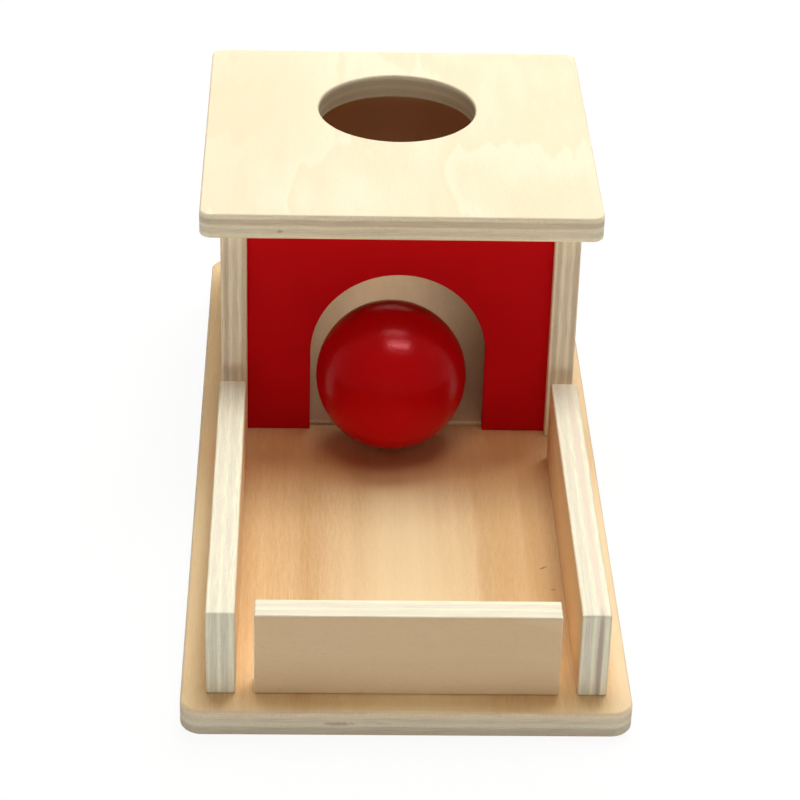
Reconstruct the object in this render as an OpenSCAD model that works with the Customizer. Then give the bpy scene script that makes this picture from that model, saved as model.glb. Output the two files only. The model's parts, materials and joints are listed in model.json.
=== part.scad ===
// Object permanence box: a plywood box with a round hole in its lid, a sloping
// ramp inside and an arched red front panel. A ball that is dropped in the hole
// rolls down the ramp and out under the arch on to a railed tray.
// Millimetres, +Z up, -Y to the front. The origin is the middle of the base
// board's underside.

/* [Plywood] */
// Thickness of the plywood in the base, lid, walls and rails
ply_t = 9.8; // [8:0.1:12]
// Thickness of the thin plywood in the front panel and the ramp
thin_t = 3.6; // [3:0.1:5]

/* [Base board] */
// Width of the base board
base_w = 150; // [140:1:200]
// Radius of the base board's corners
base_corner_r = 7.5; // [2:0.5:12]
// Bare base board beside and behind the box
base_margin = 8.5; // [5:0.5:12]
// Bare base board in front of the rails
front_margin = 10; // [5:0.5:20]

/* [Box] */
// Depth of the side walls, front to back
box_d = 134; // [120:1:180]
// Height of the walls
wall_h = 87.3; // [80:0.1:120]
// How far the front panel lies behind the walls' front edges
panel_recess = 3.7; // [2:0.1:8]
// Depth of the grooves that hold the front panel's edges
groove_depth = 3; // [1:0.1:4]
// Width of the arch
arch_w = 66; // [60:0.5:80]
// Height of the arch
arch_h = 67; // [60:0.5:75]

/* [Lid] */
// How far the lid reaches past the walls on every side
lid_overhang = 7.5; // [3:0.5:12]
// Radius of the lid's corners
lid_corner_r = 4.5; // [1:0.5:10]
// Diameter of the hole that the ball drops into
hole_d = 61.5; // [58:0.5:70]
// How far the hole's centre lies behind the lid's centre
hole_setback = 20; // [5:0.5:24]

/* [Ramp] */
// Slope of the ramp
ramp_angle = 22; // [16:0.5:25]
// Height of the blunt edge at the ramp's foot
ramp_nose = 1.5; // [0.5:0.1:2.5]
// Thickness of the batten that carries the ramp's top end
cleat_t = 10; // [6:0.5:15]
// Height of that batten at its back
cleat_h = 16; // [8:0.5:24]

/* [Tray] */
// Length of the side rails
rail_l = 150; // [120:1:250]
// Height of the side rails
rail_h = 32.4; // [28:0.1:45]
// Height of the front rail
front_rail_h = 31.4; // [28:0.1:45]
// Open gap between the side rails and the box
rail_gap = 15.5; // [2:0.5:30]
// Open gap at each end of the front rail
corner_gap = 6.2; // [2:0.1:12]

/* [Ball] */
// Diameter of the ball
ball_d = 56.5; // [50:0.5:57]
// How far the ball's centre lies in front of the front panel at rest
ball_out = 6.8; // [5:0.1:100]
// Sideways place of the ball at rest
ball_x = -2.6; // [-20:0.1:20]

/* [Dowels] */
// Diameter of the dowels in the lid and the back wall
dowel_d = 5; // [4:0.5:6]
// Length of the dowels
dowel_l = 20; // [14:1:24]
// Depth of a dowel in the lid or in a side wall
dowel_seat = 6; // [4:0.5:7]
// Bevel on a dowel's ends
dowel_bevel = 0.6; // [0.2:0.1:1]

/* [Screws] */
// Diameter of the screws that come up through the base board
screw_d = 3.5; // [3:0.1:4]
// Length of the screws
screw_l = 25; // [20:1:28]
// Diameter of the screws' countersunk heads
screw_head_d = 7; // [6:0.1:8]
// Length of the screws' points
screw_tip_l = 4; // [2:0.5:6]
// How far the heads lie above the base board's underside
screw_inset = 0.4; // [0.2:0.1:1]
// Length of the cross recess in a head
recess_l = 3.8; // [2.5:0.1:4.5]
// Width of the cross recess
recess_w = 0.9; // [0.5:0.1:1.2]
// Depth of the cross recess
recess_depth = 1.5; // [0.8:0.1:1.8]

/* [Fits] */
// Gap round the front panel's edges, and at the ramp's ends and sides
slip_gap = 0.2; // [0.1:0.05:0.4]
// Gap round a dowel or a screw
bore_gap = 0.05; // [0.02:0.01:0.15]
// Gap past the end of a dowel or a screw
end_gap = 0.5; // [0.2:0.1:1.5]
// Gap between the ball and the base board
ball_gap = 0.25; // [0.1:0.05:0.4]

/* [Hidden] */

$fn = 96;
// How far a cut runs past the face that it opens
overrun = 1;

// Where the dowels and screws stand along the piece that they hold, as shares of it
lid_dowel_shares = [0.22, 0.74];
back_dowel_shares = [0.2, 0.82];
wall_screw_shares = [0.3, 0.86];
back_screw_shares = [0.25, 0.75];
rail_screw_shares = [0.14, 0.86];
front_screw_shares = [0.15, 0.85];

// Colours of the finishes
birch = [0.95, 0.86, 0.68];
base_birch = [0.83, 0.64, 0.44];
red_paint = [0.72, 0.02, 0.04];
red_lacquer = [0.66, 0.01, 0.03];
beech = [0.85, 0.68, 0.48];
zinc = [0.75, 0.76, 0.78];

// Across the part
box_w = base_w - 2 * base_margin;
inner_w = box_w - 2 * ply_t;
wall_x = (box_w - ply_t) / 2;
front_rail_l = inner_w - 2 * corner_gap;

// Front to back
base_l = front_margin + rail_l + rail_gap + box_d + base_margin;
base_front = -base_l / 2;
rail_front = base_front + front_margin;
box_front = rail_front + rail_l + rail_gap;
box_back = box_front + box_d;
back_wall_front = box_back - ply_t;
back_wall_y = box_back - ply_t / 2;
panel_front = box_front + panel_recess;
panel_back = panel_front + thin_t;
lid_y = (box_front + box_back) / 2;
hole_y = lid_y + hole_setback;

// Up the part
base_top = ply_t;
lid_under = base_top + wall_h;

// Ramp: its profile runs from the foot at the panel to the back wall
ramp_foot = panel_back + slip_gap;
ramp_top = back_wall_front - slip_gap;
ramp_drop = thin_t / cos(ramp_angle);
function ramp_upper(y) = base_top + ramp_nose + (y - ramp_foot) * tan(ramp_angle);
function ramp_under(y) = ramp_upper(y) - ramp_drop;
ramp_heel = ramp_foot + (ramp_drop - ramp_nose) / tan(ramp_angle);
cleat_front = back_wall_front - cleat_t;
cleat_foot = ramp_under(back_wall_front) - cleat_h;

// Ball
ball_r = ball_d / 2;
ball_y = panel_front - ball_out;
ball_z = base_top + ball_gap + ball_r;

// Screws and dowels
screw_head_h = (screw_head_d - screw_d) / 2;
screw_top = screw_inset + screw_l;
dowel_reach = dowel_l - dowel_seat;

function along(start, length, shares) = [for (share = shares) start + share * length];
lid_dowel_ys = along(box_front, box_d, lid_dowel_shares);
back_dowel_zs = along(base_top, wall_h, back_dowel_shares);
wall_screw_ys = along(box_front, box_d, wall_screw_shares);
back_screw_xs = along(-inner_w / 2, inner_w, back_screw_shares);
rail_screw_ys = along(rail_front, rail_l, rail_screw_shares);
front_screw_xs = along(-front_rail_l / 2, front_rail_l, front_screw_shares);
box_screw_spots = concat(
    [for (side = [-1, 1], y = wall_screw_ys) [side * wall_x, y, 0]],
    [for (x = back_screw_xs) [x, back_wall_y, 0]]
);
tray_screw_spots = concat(
    [for (side = [-1, 1], y = rail_screw_ys) [side * wall_x, y, 0]],
    [for (x = front_screw_xs) [x, rail_front + ply_t / 2, 0]]
);

// Flat board with round corners, centred, its lower face at z 0
module round_board(w, l, t, r) {
    linear_extrude(t) {
        square([w - 2 * r, l], center = true);
        square([w, l - 2 * r], center = true);
        for (sx = [-1, 1], sy = [-1, 1])
            translate([sx * (w / 2 - r), sy * (l / 2 - r)])
                circle(r);
    }
}

// Profile in the YZ plane, drawn out to a width across the part and centred on it
module across(w) {
    translate([-w / 2, 0, 0])
        rotate([90, 0, 90])
            linear_extrude(w)
                children();
}

// Dowel with bevelled ends, standing on z 0
module dowel() {
    bevel_d = dowel_d - 2 * dowel_bevel;
    cylinder(h = dowel_bevel, d1 = bevel_d, d2 = dowel_d);
    translate([0, 0, dowel_bevel])
        cylinder(h = dowel_l - 2 * dowel_bevel, d = dowel_d);
    translate([0, 0, dowel_l - dowel_bevel])
        cylinder(h = dowel_bevel, d1 = dowel_d, d2 = bevel_d);
}

// Blind hole for a dowel, opening at z 0 and running down to the given depth
module dowel_hole(depth) {
    translate([0, 0, -depth])
        cylinder(h = depth + overrun, d = dowel_d + 2 * bore_gap);
}

// Countersunk wood screw that points up, its hole opening at z 0
module screw() {
    difference() {
        rotate_extrude()
            polygon([
                [0, screw_inset],
                [screw_head_d / 2, screw_inset],
                [screw_d / 2, screw_inset + screw_head_h],
                [screw_d / 2, screw_top - screw_tip_l],
                [0, screw_top],
            ]);
        for (turn = [0, 90])
            rotate([0, 0, turn])
                translate([-recess_l / 2, -recess_w / 2, screw_inset - overrun])
                    cube([recess_l, recess_w, recess_depth + overrun]);
    }
}

// Hole for a screw, with its countersink, from below z 0 to past the screw's point
module screw_hole() {
    hole_r = screw_d / 2 + bore_gap;
    sink_r = screw_head_d / 2 + screw_inset + bore_gap;
    translate([0, 0, -overrun])
        cylinder(h = overrun, r = sink_r);
    cylinder(h = sink_r - hole_r, r1 = sink_r, r2 = hole_r);
    cylinder(h = screw_top + end_gap, r = hole_r);
}

// Holes for all the screws of a list of places
module screw_holes(spots) {
    for (spot = spots)
        translate(spot)
            screw_hole();
}

module base_board() {
    color(base_birch)
        difference() {
            round_board(base_w, base_l, ply_t, base_corner_r);
            screw_holes(box_screw_spots);
            screw_holes(tray_screw_spots);
        }
}

// Right-hand wall; the left one is its mirror image
module side_wall() {
    difference() {
        translate([inner_w / 2, box_front, base_top])
            cube([ply_t, box_d, wall_h]);
        // Groove for the front panel
        translate([inner_w / 2 - overrun, panel_front - slip_gap, base_top - overrun])
            cube([groove_depth + overrun, thin_t + 2 * slip_gap, wall_h + 2 * overrun]);
        for (y = lid_dowel_ys)
            translate([wall_x, y, lid_under])
                dowel_hole(dowel_reach + end_gap);
        for (z = back_dowel_zs)
            translate([inner_w / 2, back_wall_y, z])
                rotate([0, -90, 0])
                    dowel_hole(dowel_seat + end_gap);
        screw_holes(box_screw_spots);
    }
}

module left_wall() {
    color(birch)
        mirror([1, 0, 0])
            side_wall();
}

module right_wall() {
    color(birch)
        side_wall();
}

module back_wall() {
    color(birch)
        difference() {
            translate([-inner_w / 2, back_wall_front, base_top])
                cube([inner_w, ply_t, wall_h]);
            for (side = [-1, 1], z = back_dowel_zs)
                translate([side * inner_w / 2, back_wall_y, z])
                    rotate([0, side * 90, 0])
                        dowel_hole(dowel_reach + end_gap);
            screw_holes(box_screw_spots);
        }
}

module front_panel() {
    panel_w = inner_w + 2 * (groove_depth - slip_gap);
    spring_z = base_top + arch_h - arch_w / 2;
    color(red_paint)
        difference() {
            translate([-panel_w / 2, panel_front, base_top])
                cube([panel_w, thin_t, wall_h - slip_gap]);
            translate([0, panel_front - overrun, spring_z])
                rotate([-90, 0, 0])
                    cylinder(h = thin_t + 2 * overrun, d = arch_w);
            translate([-arch_w / 2, panel_front - overrun, base_top - overrun])
                cube([arch_w, thin_t + 2 * overrun, spring_z - base_top + overrun]);
        }
}

module lid_board() {
    color(birch)
        difference() {
            translate([0, lid_y, lid_under])
                round_board(box_w + 2 * lid_overhang, box_d + 2 * lid_overhang, ply_t, lid_corner_r);
            translate([0, hole_y, lid_under - overrun])
                cylinder(h = ply_t + 2 * overrun, d = hole_d);
            for (side = [-1, 1], y = lid_dowel_ys)
                translate([side * wall_x, y, lid_under])
                    rotate([180, 0, 0])
                        dowel_hole(dowel_seat + end_gap);
        }
}

module ramp_board() {
    color(birch)
        across(inner_w - 2 * slip_gap)
            polygon([
                [ramp_foot, base_top],
                [ramp_heel, base_top],
                [ramp_top, ramp_under(ramp_top)],
                [ramp_top, ramp_upper(ramp_top)],
                [ramp_foot, base_top + ramp_nose],
            ]);
}

module ramp_cleat() {
    color(beech)
        across(inner_w - 2 * slip_gap)
            polygon([
                [cleat_front, cleat_foot],
                [back_wall_front, cleat_foot],
                [back_wall_front, ramp_under(back_wall_front)],
                [cleat_front, ramp_under(cleat_front)],
            ]);
}

// Right-hand rail of the tray; the left one is its mirror image
module side_rail() {
    difference() {
        translate([inner_w / 2, rail_front, base_top])
            cube([ply_t, rail_l, rail_h]);
        screw_holes(tray_screw_spots);
    }
}

module left_rail() {
    color(birch)
        mirror([1, 0, 0])
            side_rail();
}

module right_rail() {
    color(birch)
        side_rail();
}

module front_rail() {
    color(birch)
        difference() {
            translate([-front_rail_l / 2, rail_front, base_top])
                cube([front_rail_l, ply_t, front_rail_h]);
            screw_holes(tray_screw_spots);
        }
}

module ball() {
    color(red_lacquer)
        translate([ball_x, ball_y, ball_z])
            sphere(d = ball_d);
}

module lid_dowels() {
    color(beech)
        for (side = [-1, 1], y = lid_dowel_ys)
            translate([side * wall_x, y, lid_under - dowel_reach])
                dowel();
}

module back_wall_dowels() {
    color(beech)
        for (side = [-1, 1], z = back_dowel_zs)
            translate([side * (inner_w / 2 + dowel_seat), back_wall_y, z])
                rotate([0, -side * 90, 0])
                    dowel();
}

module box_screws() {
    color(zinc)
        for (spot = box_screw_spots)
            translate(spot)
                screw();
}

module tray_screws() {
    color(zinc)
        for (spot = tray_screw_spots)
            translate(spot)
                screw();
}

base_board();
left_wall();
right_wall();
back_wall();
front_panel();
lid_board();
ramp_board();
ramp_cleat();
left_rail();
right_rail();
front_rail();
ball();
lid_dowels();
back_wall_dowels();
box_screws();
tray_screws();
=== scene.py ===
"""Looks of a wooden object permanence box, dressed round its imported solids.

Every length is in metres unless a name ends in _mm. +Z is up and -Y is the front.
"""

from __future__ import annotations

import json
import logging
import math
from dataclasses import dataclass, field
from enum import Enum
from typing import Any, Sequence

import bmesh
import bpy
from mathutils import Matrix, Vector, noise

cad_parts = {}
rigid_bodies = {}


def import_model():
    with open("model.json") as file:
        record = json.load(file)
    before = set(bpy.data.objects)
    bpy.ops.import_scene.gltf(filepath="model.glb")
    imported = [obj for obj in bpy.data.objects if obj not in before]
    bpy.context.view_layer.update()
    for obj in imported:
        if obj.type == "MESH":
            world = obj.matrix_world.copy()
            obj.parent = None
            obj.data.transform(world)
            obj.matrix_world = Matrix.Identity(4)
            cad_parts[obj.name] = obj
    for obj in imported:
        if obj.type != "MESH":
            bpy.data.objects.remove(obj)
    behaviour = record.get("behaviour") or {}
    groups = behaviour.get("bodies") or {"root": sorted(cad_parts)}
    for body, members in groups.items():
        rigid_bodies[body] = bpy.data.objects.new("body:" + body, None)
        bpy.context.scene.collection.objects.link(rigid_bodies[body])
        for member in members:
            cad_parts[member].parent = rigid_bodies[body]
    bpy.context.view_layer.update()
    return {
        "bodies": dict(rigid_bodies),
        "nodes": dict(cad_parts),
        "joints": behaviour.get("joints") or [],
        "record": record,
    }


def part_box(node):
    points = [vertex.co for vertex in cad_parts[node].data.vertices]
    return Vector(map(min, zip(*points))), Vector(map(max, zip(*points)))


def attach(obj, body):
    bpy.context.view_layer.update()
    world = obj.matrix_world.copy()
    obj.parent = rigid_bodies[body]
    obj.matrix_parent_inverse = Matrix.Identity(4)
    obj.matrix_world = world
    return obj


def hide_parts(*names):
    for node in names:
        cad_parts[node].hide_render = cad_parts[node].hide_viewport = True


LOG = logging.getLogger("permanence_box")

MM = 0.001
PER_MM = 1000.0
BOX_BODY = "box"
BALL_BODY = "ball"

Colour = tuple[float, float, float]
Point2 = tuple[float, float]
Stop = tuple[float, Colour]


class Axis(Enum):
    """An axis of the part's frame, with its place in a vector."""

    X = 0
    Y = 1
    Z = 2

    def others(self) -> tuple["Axis", "Axis"]:
        """The two other axes, in X, Y, Z order."""
        first, second = (axis for axis in Axis if axis is not self)
        return first, second


class Slot(Enum):
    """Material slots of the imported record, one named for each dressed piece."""

    BIRCH = "birch_ply"
    BASE = "base_ply"
    PAINT = "red_paint"
    LACQUER = "red_lacquer"
    STEEL = "zinc_steel"


# Finishes


@dataclass(frozen=True)
class Veneer:
    """Face veneer of a board: its tones and the size of its figure, in millimetres."""

    pale: Colour
    deep: Colour
    fleck: Colour
    ring_width_mm: float
    ring_stretch: float
    ring_count: float
    ring_share: float
    flame_mm: float
    flame_share: float
    stripe_mm: float
    stripe_share: float
    fibre_share: float
    fleck_share: float
    roughness: float


@dataclass(frozen=True)
class Mark:
    """A mark, a soft change of tone in the wood, or a patch of painted light or shade, in the shape of an
    ellipsoid.

    It has a place, half sizes and a turn about Z. The share says how strong it is at its middle, and ragged
    how uneven its rim is. With on_faces it stays off the cut edges.
    """

    centre_mm: tuple[float, float, float]
    half_mm: tuple[float, float, float]
    tone: Colour
    share: float
    turn_deg: float = 0.0
    ragged: float = 1.2
    on_faces: bool = False


@dataclass(frozen=True)
class PlyEdge:
    """Cut edge of a board: the share of the thickness and the tone of each layer, and its grain.

    The other shares say how much end grain darkens, how torn it is, and how strong the streaks along the
    fibres and the fine lines along the layers are.
    """

    layers: tuple[Stop, ...]
    face_line: Colour
    end_grain_share: float
    torn_share: float
    streak_share: float
    line_share: float
    roughness: float


@dataclass(frozen=True)
class Paint:
    """Opaque red coat on wood: its tones, its gloss and the relief of its surface."""

    colour: Colour
    shade: Colour
    roughness: float
    specular: float
    gloss_tint: Colour
    peel_mm: float
    peel_strength: float
    grain_strength: float


LID_VENEER = Veneer(
    pale=(0.865, 0.82, 0.61),
    deep=(0.84, 0.735, 0.51),
    fleck=(0.70, 0.52, 0.33),
    ring_width_mm=70.0,
    ring_stretch=1.5,
    ring_count=5.0,
    ring_share=0.7,
    flame_mm=7.5,
    flame_share=1.1,
    stripe_mm=6.0,
    stripe_share=0.15,
    fibre_share=0.15,
    fleck_share=0.1,
    roughness=0.46,
)
TAN_VENEER = Veneer(
    pale=(0.93, 0.69, 0.43),
    deep=(0.84, 0.57, 0.32),
    fleck=(0.60, 0.36, 0.18),
    ring_width_mm=60.0,
    ring_stretch=7.0,
    ring_count=6.0,
    ring_share=0.4,
    flame_mm=5.0,
    flame_share=0.3,
    stripe_mm=4.0,
    stripe_share=0.3,
    fibre_share=0.25,
    fleck_share=0.2,
    roughness=0.46,
)
# Partly painted shade: this veneer is darkened for the shaded tray between the rails, and paler patches in
# the base's marks lift the strips that lie in more light.
BASE_VENEER = Veneer(
    pale=(0.80, 0.59, 0.33),
    deep=(0.65, 0.41, 0.19),
    fleck=(0.51, 0.29, 0.13),
    ring_width_mm=60.0,
    ring_stretch=18.0,
    ring_count=6.0,
    ring_share=0.25,
    flame_mm=5.0,
    flame_share=0.4,
    stripe_mm=6.0,
    stripe_share=0.75,
    fibre_share=0.65,
    fleck_share=0.2,
    roughness=0.42,
)
FRONT_VENEER = Veneer(
    pale=(0.845, 0.65, 0.41),
    deep=(0.755, 0.54, 0.315),
    fleck=(0.55, 0.39, 0.21),
    ring_width_mm=40.0,
    ring_stretch=3.0,
    ring_count=3.0,
    ring_share=0.3,
    flame_mm=5.0,
    flame_share=0.3,
    stripe_mm=4.0,
    stripe_share=0.15,
    fibre_share=0.2,
    fleck_share=0.15,
    roughness=0.46,
)
# Painted shade: the ramp's veneer is much darker than the tan wood of the other boards, for the shade inside
# the box.
RAMP_VENEER_PAINTED_SHADE = Veneer(
    pale=(0.60, 0.43, 0.26),
    deep=(0.53, 0.35, 0.195),
    fleck=(0.36, 0.23, 0.12),
    ring_width_mm=50.0,
    ring_stretch=9.0,
    ring_count=5.0,
    ring_share=0.35,
    flame_mm=5.0,
    flame_share=0.3,
    stripe_mm=4.0,
    stripe_share=0.4,
    fibre_share=0.3,
    fleck_share=0.25,
    roughness=0.5,
)
PALE_LAYER = (1.0, 0.94, 0.71)
LIGHT_LAYER = (0.96, 0.90, 0.67)
GREY_LAYER = (0.84, 0.76, 0.585)
DARK_LAYER = (0.735, 0.645, 0.48)
BROWN_LAYER = (0.55, 0.45, 0.37)
WALL_LIGHT_LAYER = (0.94, 0.84, 0.62)
WALL_MIDDLE_LAYER = (0.81, 0.71, 0.53)
WALL_BROWN_LAYER = (0.71, 0.60, 0.44)
RAIL_LONG_LAYER = (0.90, 0.88, 0.68)
RAIL_CROSS_LAYER = (0.81, 0.765, 0.61)
FACE_LINE = (0.82, 0.66, 0.47)
FIVE_PLY = PlyEdge(
    layers=(
        (0.19, LIGHT_LAYER),
        (0.24, GREY_LAYER),
        (0.13, LIGHT_LAYER),
        (0.26, DARK_LAYER),
        (0.18, PALE_LAYER),
    ),
    face_line=FACE_LINE,
    end_grain_share=0.03,
    torn_share=0.1,
    streak_share=0.2,
    line_share=0.16,
    roughness=0.58,
)
# Partly painted shade: the two lowest layers are darker than the upper ones, for the shade along the bottom
# of the base's edge near the floor.
BASE_PLY = PlyEdge(
    layers=(
        (0.14, (0.71, 0.63, 0.47)),
        (0.25, (0.67, 0.595, 0.455)),
        (0.17, (0.81, 0.745, 0.57)),
        (0.20, (0.765, 0.67, 0.50)),
        (0.24, (0.87, 0.735, 0.525)),
    ),
    face_line=(0.74, 0.60, 0.42),
    end_grain_share=0.0,
    torn_share=0.08,
    streak_share=0.2,
    line_share=0.16,
    roughness=0.58,
)
WALL_PLY = PlyEdge(
    layers=(
        (0.12, WALL_LIGHT_LAYER),
        (0.18, WALL_BROWN_LAYER),
        (0.15, WALL_LIGHT_LAYER),
        (0.20, WALL_MIDDLE_LAYER),
        (0.12, WALL_LIGHT_LAYER),
        (0.23, WALL_BROWN_LAYER),
    ),
    face_line=FACE_LINE,
    end_grain_share=0.0,
    torn_share=0.06,
    streak_share=0.16,
    line_share=0.26,
    roughness=0.58,
)
RAIL_PLY = PlyEdge(
    layers=(
        (0.12, RAIL_LONG_LAYER),
        (0.27, RAIL_CROSS_LAYER),
        (0.13, RAIL_LONG_LAYER),
        (0.25, RAIL_CROSS_LAYER),
        (0.23, RAIL_LONG_LAYER),
    ),
    face_line=(0.80, 0.72, 0.54),
    end_grain_share=-0.04,
    torn_share=0.0,
    streak_share=0.16,
    line_share=0.2,
    roughness=0.58,
)
THREE_PLY = PlyEdge(
    layers=((0.32, LIGHT_LAYER), (0.36, DARK_LAYER), (0.32, LIGHT_LAYER)),
    face_line=FACE_LINE,
    end_grain_share=0.1,
    torn_share=0.2,
    streak_share=0.2,
    line_share=0.16,
    roughness=0.6,
)
LID_MARKS_AND_PAINTED_SHADE = (
    Mark((-44.5, 9.0, 100.4), (1.3, 3.0, 0.9), (0.42, 0.29, 0.20), 0.55),
    Mark((0.0, 103.5, 102.0), (62.0, 62.0, 4.6), (0.80, 0.66, 0.42), 0.55, ragged=0.2),
    # Partly veneer tone, partly painted shade: a darker patch on the left of the lid's top, which lies in
    # less light than its right.
    Mark((-56.0, 108.0, 106.9), (38.0, 80.0, 5.0), (0.84, 0.725, 0.50), 0.7, ragged=0.3, on_faces=True),
)
# Knots and small dark streaks, then broad soft patches of painted light and shade on the base's top.
BASE_MARKS_AND_PAINTED_LIGHT = (
    Mark((-22.6, -159.0, 5.2), (6.0, 6.0, 0.9), (0.45, 0.29, 0.20), 0.6),
    Mark((-8.0, -159.0, 5.2), (5.0, 6.0, 0.5), (0.55, 0.40, 0.29), 0.3),
    Mark((50.3, -73.6, 9.8), (2.0, 0.5, 1.5), (0.30, 0.16, 0.08), 0.85, 35.0),
    Mark((53.0, -87.2, 9.8), (1.1, 0.45, 1.5), (0.34, 0.19, 0.10), 0.8, 12.0),
    # Partly veneer tone, partly painted light: paler patches on the tray's centre strip, the two outer
    # margins and the front strip lift them above the darker base veneer.
    Mark((2.0, -100.0, 9.8), (30.0, 130.0, 4.0), (0.94, 0.77, 0.475), 0.6, ragged=0.2, on_faces=True),
    Mark((76.0, -60.0, 9.8), (11.0, 260.0, 4.0), (0.96, 0.80, 0.54), 0.6, ragged=0.2, on_faces=True),
    Mark((-76.0, -60.0, 9.8), (11.0, 260.0, 4.0), (0.93, 0.775, 0.475), 0.5, ragged=0.2, on_faces=True),
    Mark((0.0, -161.0, 9.8), (110.0, 13.0, 4.0), (0.87, 0.705, 0.42), 0.5, ragged=0.2, on_faces=True),
    # Painted shade: a darker strip beside the right rail.
    Mark((44.0, -80.0, 9.8), (17.0, 140.0, 4.0), (0.70, 0.45, 0.20), 0.35, ragged=0.2, on_faces=True),
    # Painted shade and painted red reflection of the panel, on the strip in front of it.
    Mark((0.0, 4.0, 9.8), (110.0, 34.0, 4.0), (0.86, 0.49, 0.22), 0.4, ragged=0.2, on_faces=True),
)
# Painted shade and painted red reflection: a reddish brown over the whole back wall, for the dark, red-lit
# inside of the box.
BACK_PAINTED_SHADE = (
    Mark((0.0, 140.7, 60.0), (130.0, 4.0, 110.0), (0.75, 0.45, 0.27), 1.0, ragged=0.1, on_faces=True),
)
RIGHT_RAIL_MARKS = (
    Mark((63.3, -149.0, 24.0), (1.15, 9.0, 30.0), BROWN_LAYER, 0.95, ragged=0.35),
    Mark((63.2, -75.0, 42.2), (1.7, 120.0, 2.0), (0.90, 0.73, 0.60), 0.5, ragged=0.4),
)
PANEL_PAINT = Paint(
    colour=(0.61, 0.004, 0.008),
    shade=(0.55, 0.003, 0.006),
    roughness=0.55,
    specular=0.12,
    gloss_tint=(1.0, 0.3, 0.32),
    peel_mm=1.1,
    peel_strength=0.06,
    grain_strength=0.05,
)
BALL_LACQUER = Paint(
    colour=(0.56, 0.002, 0.004),
    shade=(0.50, 0.002, 0.003),
    roughness=0.2,
    specular=0.12,
    gloss_tint=(1.0, 0.3, 0.33),
    peel_mm=1.1,
    peel_strength=0.5,
    grain_strength=0.02,
)
CLOUD_SPAN = (0.3, 0.7)
BEECH_PALE = (0.80, 0.58, 0.36)
BEECH_DEEP = (0.66, 0.43, 0.24)
BEECH_RAY = (0.45, 0.26, 0.13)
BEECH_FIBRE_STRETCH = 30.0
BEECH_FIBRE_PER_MM = 1.2
BEECH_RAY_STRETCH = 8.0
BEECH_RAY_PER_MM = 1.6
BEECH_RAY_SPAN = (0.62, 0.7)
BEECH_RAY_SHARE = 0.4
BEECH_ROUGHNESS = 0.6
BEECH_RELIEF = 0.1 * MM
ZINC_CLOUD_PER_MM = 0.8
ZINC_BRIGHT = (0.72, 0.73, 0.75)
ZINC_DULL = (0.58, 0.59, 0.62)
ZINC_ROUGHNESS = (0.26, 0.42)
ZINC_RELIEF = 0.05 * MM


# Node sheets


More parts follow.
